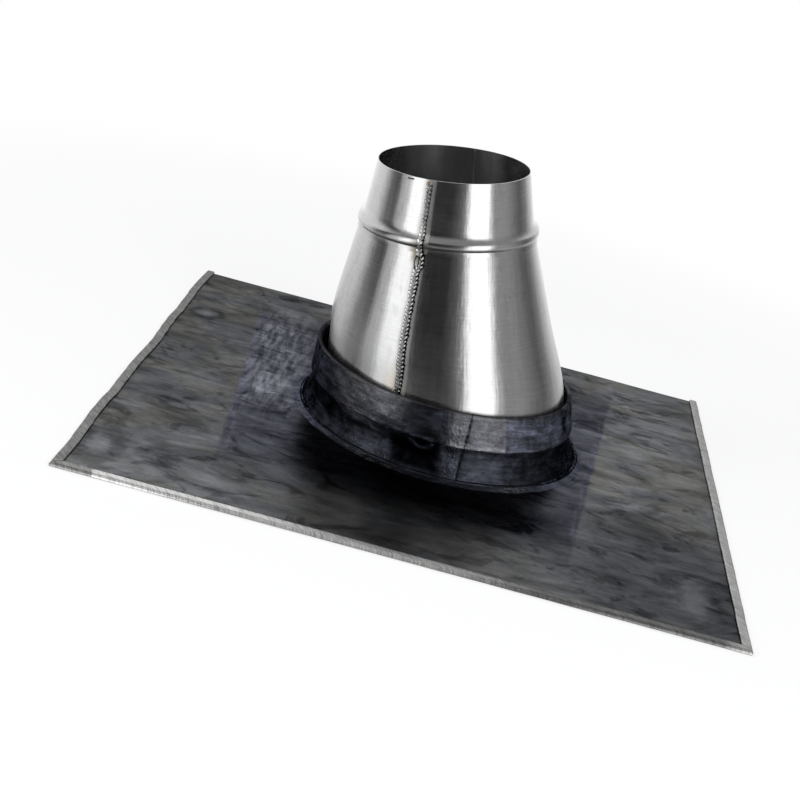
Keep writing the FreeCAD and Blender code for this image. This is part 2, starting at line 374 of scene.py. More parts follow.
@dataclass(frozen=True)
class PlateLead:
    """Rolled sheet lead: smoky streaks, a dark square of patina round the collar with a painted reflection of the
    collar darkening it in front, and scraped bright folds.
    """

    name: str = "sheet_lead_plate"
    base: float = 0.155
    sheen: float = 0.34
    grey: Colour = (1.0, 1.0, 0.975)
    bluish: Colour = (0.96, 0.99, 1.05)
    navy: Colour = (0.94, 0.97, 1.12)
    violet: Colour = (0.92, 0.93, 1.20)
    speck: Colour = (0.015, 0.015, 0.016)
    chip: Colour = (0.5, 0.5, 0.5)
    scraped: Colour = (1.0, 1.0, 0.985)

    @staticmethod
    def smoke(paint: Paint) -> tuple[Field, Field]:
        """How bright the oxide is against its average, and how blue it is from 0 to 1."""
        x, y, _ = paint.place()
        grain = partial(paint.tree.grain, (x, y))
        cloud = grain((74.0, 44.0, 6.0), 5.0, 0.62, 1.4)
        drawn = grain((95.0, 9.0, 1.0), 5.0, 0.64, 0.5)
        blot = grain((46.0, 27.0, 13.0), 5.0, 0.6, 1.6).step(0.54, 0.64)
        pale = grain((40.0, 13.0, 17.0), 5.0, 0.62, 0.9).step(0.60, 0.72)
        fine = grain((2.4, 1.6, 19.0), 3.0, 0.65)
        puff = grain((33.0, 19.0, 29.0), 5.0, 0.65, 1.0)
        bright = cloud.lift(1.15) * puff.lift(0.55) * drawn.lift(0.4) * fine.lift(0.25)
        bright = bright.touched((blot, -0.38)) + pale * 0.30
        right = x.step(90.0, 170.0) * (y.step(-110.0, -20.0) * 0.62 - 0.28)
        corner = x.step(-60.0, -140.0) * y.step(-140.0, -200.0) * 0.35
        hue = grain((80.0, 60.0, 23.0), 3.0, 0.55, 0.8).step(0.42, 0.60)
        blue = hue.highest(x.step(40.0, 150.0) * y.step(-60.0, -120.0))
        return (bright * (1.0 + right + corner)).highest(0.22), blue

    @staticmethod
    def marks(paint: Paint) -> tuple[Field, Field]:
        """The few lasting marks on the sheet: how pale and how dark they are."""
        x, y, _ = paint.place()
        wave = paint.tree.grain((x, y), (12.0, 12.0, 27.0)).sway(14.0)
        spot = apart(x, y, (-222.0, 132.0)).root() + wave
        corner = apart(x, y, (-229.0, -196.0), (1.0, 1.818)).root() + wave
        smear = apart(x, y, (213.0, -188.0), (1.0, 2.857)).root() + wave * 1.6
        pale = spot.step(10.0, 2.0) * 0.9 + corner.step(10.0, 3.0) * 0.7 + smear.step(14.0, 5.0) * 0.6
        dark = spot.band(13.0, 1.0, 5.0) * 0.35 + corner.band(15.0, 2.0, 7.0) * 0.35
        return pale, dark

    @staticmethod
    def patina(paint: Paint) -> tuple[Field, Field, Field]:
        """The square of patina round the collar, its pale borders and its paler left part."""
        x, y, _ = paint.place()
        grain = partial(paint.tree.grain, (x, y))
        wobble = grain((60.0, 17.0, 21.0)).sway(5.0)
        left = x + wobble + 164.2 + y * 0.0877
        right = 140.4 + y * 0.1108 - x + wobble
        front = y + 206.0 + wobble * 3.0
        back = 212.0 - y + wobble * 3.0
        inside = left.step(-1.5, 2.0) * right.step(-1.5, 2.0) * front.step(-10.0, 80.0) * back.step(-10.0, 70.0)
        brushed = grain((6.0, 34.0, 25.0))
        side = left.step(80.0, 20.0) * y.step(-90.0, 0.0)
        lines = left.band(3.5, 1.5, 6.0) * brushed.step(0.40, 0.60) * y.step(-200.0, -90.0)
        lines = lines.highest(right.band(2.0, 1.0, 5.0) * brushed.step(0.44, 0.64))
        return inside, lines * inside, side * brushed.step(0.34, 0.66)

    @staticmethod
    def folds(paint: Paint) -> tuple[Field, Field, Field]:
        """The mask of the three folds, their brightness and the scratches along them."""
        x, y, z = paint.place()
        grain = partial(paint.tree.grain, (x, y))
        on_top = z.step(2.42, 2.57).highest(y.step(-249.0, -249.5) * z.step(0.5, 0.9))
        on_top = on_top * abs(x).highest(abs(y)).step(230.0, 232.0)
        slant = paint.tree.grain((x + y * 0.8, y - x * 0.35), (1.4, 14.0, 31.0), 3.0, 0.65)
        mottle = grain((13.0, 13.0, 35.0), 4.0)
        front = y.step(-240.5, -241.5)
        along = 0.98 - x.step(-60.0, 20.0) * 0.14 - x.step(10.0, 110.0) * 0.60 + x.step(228.0, 240.0) * 0.35
        along = along * (x + mottle * 8.0).step(-218.0, -214.0).highest(0.45)
        bright = (0.36 + x.step(0.0, 10.0) * 0.22) * (1.0 - front) + along * front
        worn = grain((5.0, 5.0, 37.0)).step(0.58, 0.70) * front * x.step(0.0, 60.0)
        bright = bright * (0.38 + slant.step(0.3, 0.7) * 0.62 + mottle * 0.45)
        return on_top, bright.touched((worn, -0.35)), slant

    def build(self) -> bpy.types.Material:
        """Make the material."""
        paint = Paint(self.name, Metallic=1.0, Specular_Tint=grey(self.sheen))
        tree = paint.tree
        x, y, _ = paint.place()
        bright, blue = self.smoke(paint)
        pale, dark = self.marks(paint)
        inside, lines, side = self.patina(paint)
        fold, folded, slant = self.folds(paint)
        level = (bright * self.base * (1.0 - dark) + pale * 0.09).highest(0.012)
        skin = tree.mix(blue, tree.tint(level, self.grey), tree.tint(level, self.bluish))
        # Painted reflection of the collar and cone, with some dirt: the patina square is darker still in front of the
        # collar.
        collar_reflection_and_dirt = y.step(-90.0, -130.0) * x.band(10.0, 70.0, 60.0)
        skin = tree.mix(inside, skin, tree.tint(level * (0.62 + side * 0.95 - collar_reflection_and_dirt * 0.42), self.navy))
        skin = tree.mix(lines * 0.6, skin, tree.tint(level * 0.9 + 0.020, self.violet))
        speck = tree.grain((x, y), (2.2, 2.2, 41.0), 1.0, 0.5).step(0.75, 0.79)
        skin = tree.mix(speck * 0.6, skin, self.speck)
        chip = tree.grain((x, y), (1.6, 1.6, 43.0), 1.0, 0.5).step(0.72, 0.76)
        chip = chip * x.band(-70.0, 16.0, 12.0) * y.band(-92.0, 14.0, 12.0)
        skin = tree.mix(chip * 0.8, skin, self.chip)
        skin = tree.mix(fold, skin, tree.tint(folded.highest(0.04), self.scraped))
        roughness = (0.34 + (bright - 1.0) * 0.06 - inside * 0.06 + fold * 0.10).highest(0.22).lowest(0.55)
        return paint.finish(skin, roughness, bright * 0.05 + slant * fold * 0.20)


def joint_azimuth(height: object) -> object:
    """The azimuth in degrees of the collar's upright joint at a height in millimetres, a number or a field."""
    return (height - 6.0) * 0.0955 - 78.8


@dataclass(frozen=True)
class CollarLead:
    """Hand-dressed lead of the collar: scraped band, burned joint and navy patina.

    The UV map holds the azimuth in degrees and the height in millimetres, each divided by 100, with
    the flange's width counted on below the wall's foot.
    """

    name: str = "sheet_lead_collar"
    uv: str = "Unrolled"
    sheen: float = 0.25
    grey: Colour = (1.0, 0.99, 1.0)
    navy: Colour = (0.84, 0.92, 1.28)

    def build(self) -> bpy.types.Material:
        """Make the material."""
        paint = Paint(self.name, Metallic=1.0, Specular_Tint=grey(self.sheen))
        tree = paint.tree
        azimuth, height = paint.unrolled(self.uv)
        along = azimuth * WALL_ARC
        grain = partial(tree.grain, (along, height))
        cloud = grain((17.0, 12.0, 2.0), 5.0, 0.62, 0.8)
        drawn = grain((26.0, 3.0, 6.0), 4.0, 0.6, 0.3)
        fine = grain((1.7, 1.2, 9.0), 3.0, 0.65)
        hatch = tree.grain((along + height, height - along), (1.4, 6.0, 12.0), 3.0, 0.65)
        warp = cloud.sway(14.0) + fine.sway(2.0)
        fleck = (hatch * 0.6 + fine * 0.5).step(0.60, 0.70)
        band = (height + warp * 0.05).step(27.4, 28.4)
        block = (azimuth + warp * 0.25).band(-96.5, 8.0, 4.0) * (height + warp * 0.3).band(17.0, 9.0, 5.0)
        upper = (azimuth + warp * 0.5).band(-92.0, 5.0, 7.0) * (height + warp * 0.4).step(26.0, 36.0)
        patch = (azimuth + warp * 0.04).band(-71.3, 12.4, 0.9) * band
        scraped = (azimuth + warp).band(-119.0, 14.0, 9.0)
        scraped = scraped * (height + warp * 0.5 - (azimuth + 118.0) * 0.5).step(24.0, 34.0)
        strip = (azimuth + warp * 0.10 - (height - 28.0) * 0.06).band(-80.3, 2.6, 2.0)
        lobe = apart(azimuth, height, (-94.0, 26.0), (5.0, 6.5)).root().band(0.72, 0.10, 0.25)
        lobe = (lobe * height.step(28.0, 25.0)).highest(lobe * 0.2)
        # Painted highlight along the doubled band's lower edge at two azimuths, broken into scratch flecks.
        low = azimuth.band(-140.0, 7.0, 4.0).highest(azimuth.band(-48.0, 8.0, 5.0)) * height.band(28.5, 1.0, 2.5)
        graze = azimuth.band(-120.0, 13.0, 5.0) * (height + (azimuth + 120.0) * 0.3).band(8.0, 5.0, 5.0)
        dots = tree.grain((height,), (2.6, 0.0, 51.0), 1.0, 0.5).step(0.36, 0.5)
        split = ((azimuth - joint_azimuth(height)) * WALL_ARC + fine.sway(1.2)).band(0.0, 0.35, 0.7) * dots
        sill = (azimuth + warp * 0.1).band(-68.5, 7.0, 3.0) * (height + warp * 0.1).band(15.0, 9.5, 3.0)
        sunlit = (azimuth + warp * 0.3).step(-62.0, -52.0) * band
        # lip marks the rounded fold at the collar's top, where a highlight is painted.
        lip = height.step(53.8, 55.2)
        level = (0.036 + band * 0.048 + sunlit * 0.06) * cloud.lift(2.2) * drawn.lift(1.3) * fine.lift(0.8)
        level = level + patch * (0.060 + height.step(35.0, 28.0) * 0.17) * hatch.lift(1.6)
        level = level + scraped * (0.055 + fleck * 0.14) + sill * 0.016 * hatch.lift(1.5)
        level = level + strip * (0.02 + fleck * 0.16) + (low + graze * 0.35) * fleck * 0.20
        level = level.touched((block, -0.80), (upper, -0.35), (split, -0.8)) + lobe * 0.07 * (fine * 2.0)
        # Painted highlight on the lip: lighter and less blue than the lead round it.
        level = (level.touched((lip, -0.4)) + lip * 0.030).highest(0.005)
        blue = (0.25 + block + cloud).touched((lip, -0.8), (patch, -0.6), (scraped, -0.6)).lowest(1.0)
        skin = tree.mix(blue, tree.tint(level, self.grey), tree.tint(level, self.navy))
        roughness = (0.42 + cloud.sway(0.25) - block * 0.08).highest(0.24)
        relief = fine * 0.08 + cloud * 0.30 + drawn * 0.12 + hatch * (strip + patch * 0.5) * 0.30
        return paint.finish(skin, roughness, relief)


@dataclass(frozen=True)
class BurnedLead:
    """Melted and wiped lead round the collar's foot, scraped bright here and there."""

    name: str = "burned_lead"
    base: float = 0.155
    sheen: float = 0.34
    centre: tuple[float, float] = (6.7, 18.5)
    navy: Colour = (0.88, 0.93, 1.22)
    scraped: Colour = (0.34, 0.34, 0.35)

    def build(self) -> bpy.types.Material:
        """Make the material."""
        paint = Paint(self.name, Metallic=1.0, Specular_Tint=grey(self.sheen))
        tree = paint.tree
        place = paint.place()
        azimuth = (place[1] - self.centre[1]).angle(place[0] - self.centre[0]) * math.degrees(1.0)
        bright, _ = PlateLead.smoke(paint)
        side = PlateLead.patina(paint)[2]
        fine = tree.grain(place, (1.5, 1.5, 1.5), 4.0, 0.65)
        streak = tree.grain(place, (9.0, 2.5, 1.5))
        worn = azimuth.band(-114.0, 9.0, 5.0) + azimuth.band(-58.0, 5.0, 4.0) + azimuth.band(8.0, 10.0, 6.0) * 0.5
        worn = (worn + azimuth.band(-165.0, 9.0, 8.0) * 0.3 + 0.08) * (fine * 0.4 + streak * 0.7).step(0.54, 0.66)
        level = (bright * self.base * (0.6 + side * 0.4) * (fine * 2.0)).highest(0.012)
        skin = tree.mix(worn.lowest(1.0) * 0.7, tree.tint(level, self.navy), self.scraped)
        return paint.finish(skin, 0.36 + fine.sway(0.2), fine * 0.12)


# ---------------------------------------------------------------- mesh helpers


def add_object(name: str, data: bpy.types.ID) -> bpy.types.Object:
    """Put new data in the scene as an object."""
    thing = bpy.data.objects.new(name, data)
    bpy.context.scene.collection.objects.link(thing)
    return thing


def round_angles(count: int) -> np.ndarray:
    """Even angles round a circle, in degrees."""
    return np.arange(count) * FULL_TURN / count


def turn_matrix(tilt: float, tip: float) -> np.ndarray:
    """Rotation of a ring's plane, leaned up the slope by tilt and to the front by tip, in degrees."""
    a, b = math.radians(tilt), math.radians(tip)
    lean = np.array([[math.cos(a), 0, -math.sin(a)], [0, 1, 0], [math.sin(a), 0, math.cos(a)]])
    nod = np.array([[1, 0, 0], [0, math.cos(b), -math.sin(b)], [0, math.sin(b), math.cos(b)]])
    return nod @ lean


def shell_object(name: str, points: np.ndarray, uv: np.ndarray, uv_name: str) -> bpy.types.Object:
    """A closed shell from a grid of points that closes in both directions.

    Args:
        name: the object's name.
        points: rows by columns by 3, in millimetres; rows go round the section, columns round the axis.
        uv: rows + 1 by columns + 1 by 2.
        uv_name: the UV map's name.

    Returns:
        The object, shaded smooth with its creases sharp.
    """
    rows, columns = points.shape[:2]
    i, j = np.meshgrid(np.arange(rows), np.arange(columns), indexing="ij")
    i2, j2 = (i + 1) % rows, (j + 1) % columns
    faces = np.stack([i * columns + j, i2 * columns + j, i2 * columns + j2, i * columns + j2], -1).reshape(-1, 4)
    corners = np.stack([uv[i, j], uv[i + 1, j], uv[i + 1, j + 1], uv[i, j + 1]], -2).reshape(-1, 4, 2)
    flat = points.reshape(-1, 3) * MM
    a, b, c, d = (flat[faces[:, k]] for k in range(4))
    volume = (np.einsum("ij,ij->i", a, np.cross(b, c)) + np.einsum("ij,ij->i", a, np.cross(c, d))).sum()
    if volume < 0:
        faces, corners = faces[:, ::-1], corners[:, ::-1]
    mesh = bpy.data.meshes.new(name)
    mesh.from_pydata(flat.tolist(), [], faces.tolist())
    layer = mesh.uv_layers.new(name=uv_name)
    layer.data.foreach_set("uv", corners.reshape(-1).astype(np.float32))
    return finish_mesh(name, mesh)


def rolled_uv(down: np.ndarray, angles: np.ndarray, radius: float) -> np.ndarray:
    """UV coordinates of a rolled sheet: the distance round it from its seam and the distance down.

    Args:
        down: each row's distance down in millimetres, with the first row's again at the end.
        angles: each column's angle from the seam in degrees.
        radius: the radius in millimetres at which the distance round is counted.

    Returns:
        An array of rows by columns + 1 by 2.
    """
    turns = np.append(angles, FULL_TURN)
    turns = np.where(turns > 180.0, turns - FULL_TURN, turns)
    uv = np.zeros((len(down), len(turns), 2))
    uv[..., 0] = np.radians(turns) * radius / UV_UNIT
    uv[..., 1] = down[:, None] / UV_UNIT
    return uv


def finish_mesh(name: str, mesh: bpy.types.Mesh, angle: float = 35.0) -> bpy.types.Object:
    """Shade a mesh smooth with creases above an angle in degrees and put it in the scene."""
    mesh.validate()
    mesh.shade_smooth()
    mesh.set_sharp_from_angle(angle=math.radians(angle))
    return add_object(name, mesh)


def dress(piece: bpy.types.Object, material: bpy.types.Material, slot: Slot, *nodes: str) -> bpy.types.Object:
    """Give a piece its material and let it stand for CAD nodes."""
    piece.data.materials.clear()
    piece.data.materials.append(material)
    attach(piece, "root")
    if nodes:
        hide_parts(*nodes)
    log.info("%s: %d faces", piece.name, len(piece.data.polygons))
    return piece


def rough(point: Sequence[float], size: float, seed: float = 0.0, octaves: int = 3) -> float:
    """Fractal noise from about -1 to 1 at a point in millimetres, with features of the given size."""
    place = Vector((point[0] / size + seed, point[1] / size - seed, point[2] / size + seed * 0.5))
    return noise.fractal(place, 1.0, 2.0, octaves)


def smooth(value: float, low: float, high: float) -> float:
    """A smooth step from 0 at low to 1 at high."""
    t = min(max((value - low) / (high - low), 0.0), 1.0)
    return t * t * (3.0 - 2.0 * t)


def out_of_round(waves: tuple[tuple[float, int, float], ...], turn: Union[float, np.ndarray]) -> np.ndarray:
    """How far a ring strays from a circle at a turn, from waves given by size, count and start."""
    return sum(size * np.sin(count * turn + start) for size, count, start in waves)


def hump(value: float, centre: float, width: float, power: int = 2) -> float:
    """A bell that is 1 at centre."""
    return math.exp(-(((value - centre) / width) ** power))


def path_lengths(path: np.ndarray) -> np.ndarray:
    """The distance along a line at each of its points."""
    return np.concatenate([[0.0], np.cumsum(np.linalg.norm(np.diff(path, axis=0), axis=1))])


def arc_points(first: np.ndarray, middle: np.ndarray, last: np.ndarray, count: int) -> list[np.ndarray]:
    """Points on the circular arc through three plane points, without the first."""
    (ax, ay), (bx, by), (cx, cy) = first, middle, last
    d = 2 * (ax * (by - cy) + bx * (cy - ay) + cx * (ay - by))
    ux = ((ax**2 + ay**2) * (by - cy) + (bx**2 + by**2) * (cy - ay) + (cx**2 + cy**2) * (ay - by)) / d
    uy = ((ax**2 + ay**2) * (cx - bx) + (bx**2 + by**2) * (ax - cx) + (cx**2 + cy**2) * (bx - ax)) / d
    centre = np.array([ux, uy])
    angles = [math.atan2(p[1] - uy, p[0] - ux) for p in (first, middle, last)]
    sweep = (angles[2] - angles[0]) % (2 * math.pi)
    if (angles[1] - angles[0]) % (2 * math.pi) > sweep:
        sweep -= 2 * math.pi
    radius = np.linalg.norm(np.asarray(first) - centre)
    turns = [angles[0] + sweep * (k + 1) / count for k in range(count)]
    return [centre + radius * np.array([math.cos(t), math.sin(t)]) for t in turns]


def line_points(first: np.ndarray, last: np.ndarray, count: int) -> list[np.ndarray]:
    """Points on a straight line, without the first."""
    first, last = np.asarray(first, float), np.asarray(last, float)
    return [first + (last - first) * (k + 1) / count for k in range(count)]


# ---------------------------------------------------------------- steel


@dataclass
class SteelNeck:
    """The tapered neck with its swaged bead and skirt."""

    steel: float = 0.7
    tilt: float = 8.8
    tip: float = 2.1
    mouth: tuple[float, float, float] = (-36.3, 10.4, 220.2)
    seam: float = -102.6
    uv_radius: float = 67.0
    waves: tuple[tuple[float, int, float], ...] = ((0.10, 3, 0.4), (0.07, 7, 1.9))
    rim_down: float = 0.03
    columns: int = 320
    outline: dict[str, tuple[float, float]] = field(default_factory=lambda: {
        "mouth": (60.7, 0.0), "foot": (67.7, 39.8), "ledge": (71.9, 44.6), "crest": (72.9, 47.0),
        "valley": (71.6, 51.0), "skirt": (72.3, 54.6)})

    def profile(self, inset: float) -> list[np.ndarray]:
        """The neck's outline from mouth to skirt, as radius and distance down, moved in by inset."""
        at = {name: np.array([r - inset, s]) for name, (r, s) in self.outline.items()}
        at["foot"][1] -= inset * 0.5
        at["ledge"][1] -= inset * 0.5
        ledge_mid = (at["foot"] + at["ledge"]) / 2 + np.array([-0.8, 0.0])
        skirt_mid = (at["valley"] + at["skirt"]) / 2 + np.array([-0.1, 0.0])
        return [at["mouth"], *line_points(at["mouth"], at["foot"], 14),
                *arc_points(at["foot"], ledge_mid, at["ledge"], 7),
                *arc_points(at["ledge"], at["crest"], at["valley"], 12),
                *arc_points(at["valley"], skirt_mid, at["skirt"], 5)]

    def point(self, radius: float, down: float, azimuth: float) -> np.ndarray:
        """A point of the neck in the row frame, from its radius, distance down and azimuth in degrees."""
        a = math.radians(azimuth)
        local = np.array([radius * math.cos(a), radius * math.sin(a), -down])
        return np.array(self.mouth) + turn_matrix(self.tilt, self.tip) @ local

    def build(self) -> bpy.types.Object:
        """Make the shell, with a small rounded rim at its mouth."""
        outer, inner = self.profile(0.0), self.profile(self.steel)
        rim = (outer[0] + inner[0]) / 2
        section = np.array([rim, *outer, *inner[::-1]])
        section[:, 1] = np.maximum(section[:, 1], self.rim_down)
        angles = round_angles(self.columns)
        turn = turn_matrix(self.tilt, self.tip)
        points = np.zeros((len(section), self.columns, 3))
        for k, angle in enumerate(angles):
            a = math.radians(self.seam + angle)
            radius = section[:, 0] + out_of_round(self.waves, a)
            local = np.stack([radius * math.cos(a), radius * math.sin(a), -section[:, 1]], -1)
            points[:, k] = np.array(self.mouth) + local @ turn.T
        uv = rolled_uv(np.append(section[:, 1], section[0, 1]), angles, self.uv_radius)
        return shell_object("brushed_neck", points, uv, "Rolled")


@dataclass
class SteelCone:
    """The rolled cone with its straighter skirt."""

    neck: SteelNeck
    steel: float = 0.7
    top: float = 50.4
    top_radius: float = 70.35
    top_seam: float = -102.3
    ease: float = 5.5
    reach: int = 14
    uv_radius: float = 90.0
    waves: tuple[tuple[float, int, float], ...] = ((0.16, 3, 1.0), (0.12, 5, 0.3), (0.05, 11, 0.0))
    straight_rows: int = 29
    curve_rows: int = 6
    columns: int = 360
    rings: tuple[tuple[float, ...], ...] = (
        (87.8, -12.8, 14.6, 92.7, 6.0, 1.2, -105.3), (76.0, -7.0, 16.2, 96.2, 3.2, 0.6, -106.6),
        (66.0, -2.9, 17.4, 98.8, 1.2, 0.2, -107.7), (55.7, 0.1, 18.2, 100.6, 0.0, 0.0, -108.7),
        (40.0, 2.0, 18.5, 102.6, 0.0, 0.0, -109.3), (20.0, 2.8, 18.5, 104.2, 0.0, 0.0, -109.7),
        (1.8, 3.0, 18.5, 105.0, 0.0, 0.0, -109.9))

    def all_rings(self) -> list[tuple[float, ...]]:
        """The top ring, inside the bead's skirt, and the others down to the foot."""
        centre = self.neck.point(0.0, self.top, 0.0)
        first = (centre[2], centre[0], centre[1], self.top_radius, self.neck.tilt, self.neck.tip, self.top_seam)
        return [first, *self.rings]

    def ring_points(self, ring: tuple[float, ...], inset: float, angles: np.ndarray) -> np.ndarray:
        """Points round one ring, at angles in degrees from its seam."""
        z, x, y, radius, tilt, tip, seam = ring
        a = np.radians(angles + seam)
        r = radius - inset + out_of_round(self.waves, a) * smooth(160.0 - z, -10.0, 60.0)
        local = np.stack([r * np.cos(a), r * np.sin(a), np.zeros_like(a)], -1)
        return np.array([x, y, z]) + local @ turn_matrix(tilt, tip).T

    def surface(self, inset: float, angles: np.ndarray) -> np.ndarray:
        """Rows of points down the cone: straight to the bend, then an even curve to the foot."""
        anchors = [self.ring_points(ring, inset, angles) for ring in self.all_rings()]
        rows = [anchors[0] + (anchors[1] - anchors[0]) * t for t in np.arange(self.straight_rows) / self.straight_rows]
        lower = [2 * anchors[1] - anchors[2]] + anchors[1:] + [2 * anchors[-1] - anchors[-2]]
        for k in range(1, len(lower) - 2):
            p0, p1, p2, p3 = lower[k - 1:k + 3]
            for t in np.arange(self.curve_rows) / self.curve_rows:
                rows.append(0.5 * (2 * p1 + (p2 - p0) * t + (2 * p0 - 5 * p1 + 4 * p2 - p3) * t**2
                                   + (3 * p1 - p0 - 3 * p2 + p3) * t**3))
        rows.append(anchors[-1])
        return self.eased(np.array(rows))

    def eased(self, rows: np.ndarray) -> np.ndarray:
        """Ease the bend between the straight part and the skirt, without moving the two ends."""
        reach = self.reach
        weights = np.exp(-0.5 * (np.arange(-reach, reach + 1) / self.ease) ** 2)
        weights /= weights.sum()
        head = 2 * rows[0] - rows[reach:0:-1]
        tail = 2 * rows[-1] - rows[-2:-reach - 2:-1]
        padded = np.concatenate([head, rows, tail])
        return sum(weight * padded[k:k + len(rows)] for k, weight in enumerate(weights))

    def build(self) -> bpy.types.Object:
        """Make the shell from its outer and inner surfaces."""
        angles = round_angles(self.columns)
        outer, inner = self.surface(0.0, angles), self.surface(self.steel, angles)
        points = np.concatenate([outer, inner[::-1]])
        down = path_lengths(outer[:, 0]) + self.top
        uv = rolled_uv(np.concatenate([down, down[::-1], down[:1]]), angles, self.uv_radius)
        shell = shell_object("brushed_cone", points, uv, "Rolled")
        self.soften(shell.data, len(outer))
        return shell

    def soften(self, mesh: bpy.types.Mesh, rows: int) -> None:
        """Let the skirt's outside be shaded much like the straight part above it, as rolled sheet is."""
        normals = np.zeros((len(mesh.vertices), 3), np.float32)
        mesh.vertex_normals.foreach_get("vector", normals.reshape(-1))
        normals = normals.reshape(-1, 3)
        given = np.zeros_like(normals)
        straight = normals[20 * self.columns:21 * self.columns]
        for row in range(22, rows):
            share = 0.75 * smooth(row, 22, 32)
            part = slice(row * self.columns, (row + 1) * self.columns)
            mixed = normals[part] * (1.0 - share) + straight * share
            given[part] = mixed / np.linalg.norm(mixed, axis=1, keepdims=True)
        mesh.normals_split_custom_set_from_vertices(given.tolist())

    def seam_line(self) -> list[np.ndarray]:
        """Points down the outside of the cone at the seam."""
        rows = self.surface(0.0, np.array([0.0]))[:, 0]
        return [row for row in rows if row[2] > 38.0][3:]


@dataclass
class RippleBead:
    """A run of overlapping puddles along a line, made by Geometry Nodes."""

    name: str
    pitch: float
    width: float
    length: float
    height: float
    lean: float = 16.0
    twist: float = 0.0
    jitter: float = 0.12
    seed: int = 3

    def sizes(self) -> dict[str, float]:
        """The node tree's named sizes, in metres and radians."""
        return {"Pitch": self.pitch * MM, "Width": self.width * MM, "Length": self.length * MM,
                "Height": self.height * MM, "Lean": math.radians(self.lean), "Twist": math.radians(self.twist),
                "Jitter": self.jitter}

    def node_group(self) -> bpy.types.NodeTree:
        """The node tree, with its sizes as named inputs."""
        group = bpy.data.node_groups.new(self.name + "_ripples", "GeometryNodeTree")
        inputs = {"Geometry": "Geometry", **dict.fromkeys(self.sizes(), "Float"), "Seed": "Int", "Material": "Material"}
        for label, kind in inputs.items():
            group.interface.new_socket(name=label, in_out="INPUT", socket_type="NodeSocket" + kind)
        group.interface.new_socket(name="Geometry", in_out="OUTPUT", socket_type="NodeSocketGeometry")
        tree = Tree(group)
        given = {out.name: Field(tree, out) for out in tree.node("NodeGroupInput").outputs}
        curve = tree.node("GeometryNodeMeshToCurve", None, {"Mesh": given["Geometry"]})
        line = tree.node("GeometryNodeResampleCurve", {"mode": "LENGTH"}, {"Curve": curve, "Length": given["Pitch"]})
        out = tree.node("GeometryNodeInputNamedAttribute", {"data_type": "FLOAT_VECTOR"}, {"Name": "out"})
        swell = tree.value("GeometryNodeInputNamedAttribute", {"data_type": "FLOAT"}, {"Name": "swell"})
        facing = tree.node("FunctionNodeAxesToRotation", {"primary_axis": "Z", "secondary_axis": "X"},
                           {0: out, 1: tree.node("GeometryNodeInputTangent")})
        puddle = tree.node("GeometryNodeMeshUVSphere", None, {"Segments": 16, "Rings": 10, "Radius": 0.5})
        crown = tree.split(tree.node("GeometryNodeInputPosition"))[2] * 2.0
        puddle = tree.node("GeometryNodeStoreNamedAttribute", {"data_type": "FLOAT", "domain": "POINT"},
                           {"Geometry": puddle, "Name": "crown", "Value": crown})
        scale = tree.combine(given["Length"], given["Width"], given["Height"] * 2.0)
        puddle = tree.node("GeometryNodeTransform", None, {"Geometry": puddle, "Scale": scale})
        tilt = tree.combine(0.0, given["Lean"], given["Twist"])
        puddle = tree.node("GeometryNodeTransform", None, {"Geometry": puddle, "Rotation": tilt})
        grown = swell * tree.value("FunctionNodeRandomValue", {"data_type": "FLOAT"}, {
            2: 1.0 - given["Jitter"], 3: 1.0 + given["Jitter"], "Seed": given["Seed"]}, 1)
        size = tree.combine((grown - 1.0) * 0.5 + 1.0, grown, grown)
        bead = tree.node("GeometryNodeInstanceOnPoints", None,
                         {"Points": line, "Instance": puddle, "Rotation": facing, "Scale": size})
        bead = tree.node("GeometryNodeRealizeInstances", None, {0: bead})
        bead = tree.node("GeometryNodeSetShadeSmooth", None, {"Geometry": bead})
        bead = tree.node("GeometryNodeSetMaterial", None, {"Geometry": bead, "Material": given["Material"]})
        tree.node("NodeGroupOutput", None, {0: bead})
        return group

    def build(self, points: list[np.ndarray], outs: list[np.ndarray], swells: list[float],
              material: bpy.types.Material) -> bpy.types.Object:
        """Lay the bead.

        Args:
            points: the line in millimetres.
            outs: the outward direction at each point.
            swells: how much larger the puddles are at each point.
            material: the bead's material.

        Returns:
            The bead as a plain mesh object.
        """
        mesh = bpy.data.meshes.new(self.name + "_line")
        mesh.from_pydata([tuple(p * MM) for p in points], [(k, k + 1) for k in range(len(points) - 1)], [])
        for name, kind, key, rows in (("out", "FLOAT_VECTOR", "vector", outs), ("swell", "FLOAT", "value", swells)):
            data = mesh.attributes.new(name, kind, "POINT").data
            data.foreach_set(key, np.array(rows, np.float32).reshape(-1))
        carrier = add_object(self.name + "_line", mesh)
        modifier = carrier.modifiers.new("Ripples", "NODES")
        modifier.node_group = self.node_group()
        values = {**self.sizes(), "Seed": self.seed, "Material": material}
        for item in modifier.node_group.interface.items_tree:
            if item.in_out == "INPUT" and item.name in values:
                modifier[item.identifier] = values[item.name]
        depsgraph = bpy.context.evaluated_depsgraph_get()
        result = bpy.data.meshes.new_from_object(carrier.evaluated_get(depsgraph))
        bpy.data.objects.remove(carrier)
        return finish_mesh(self.name, result, 180.0)


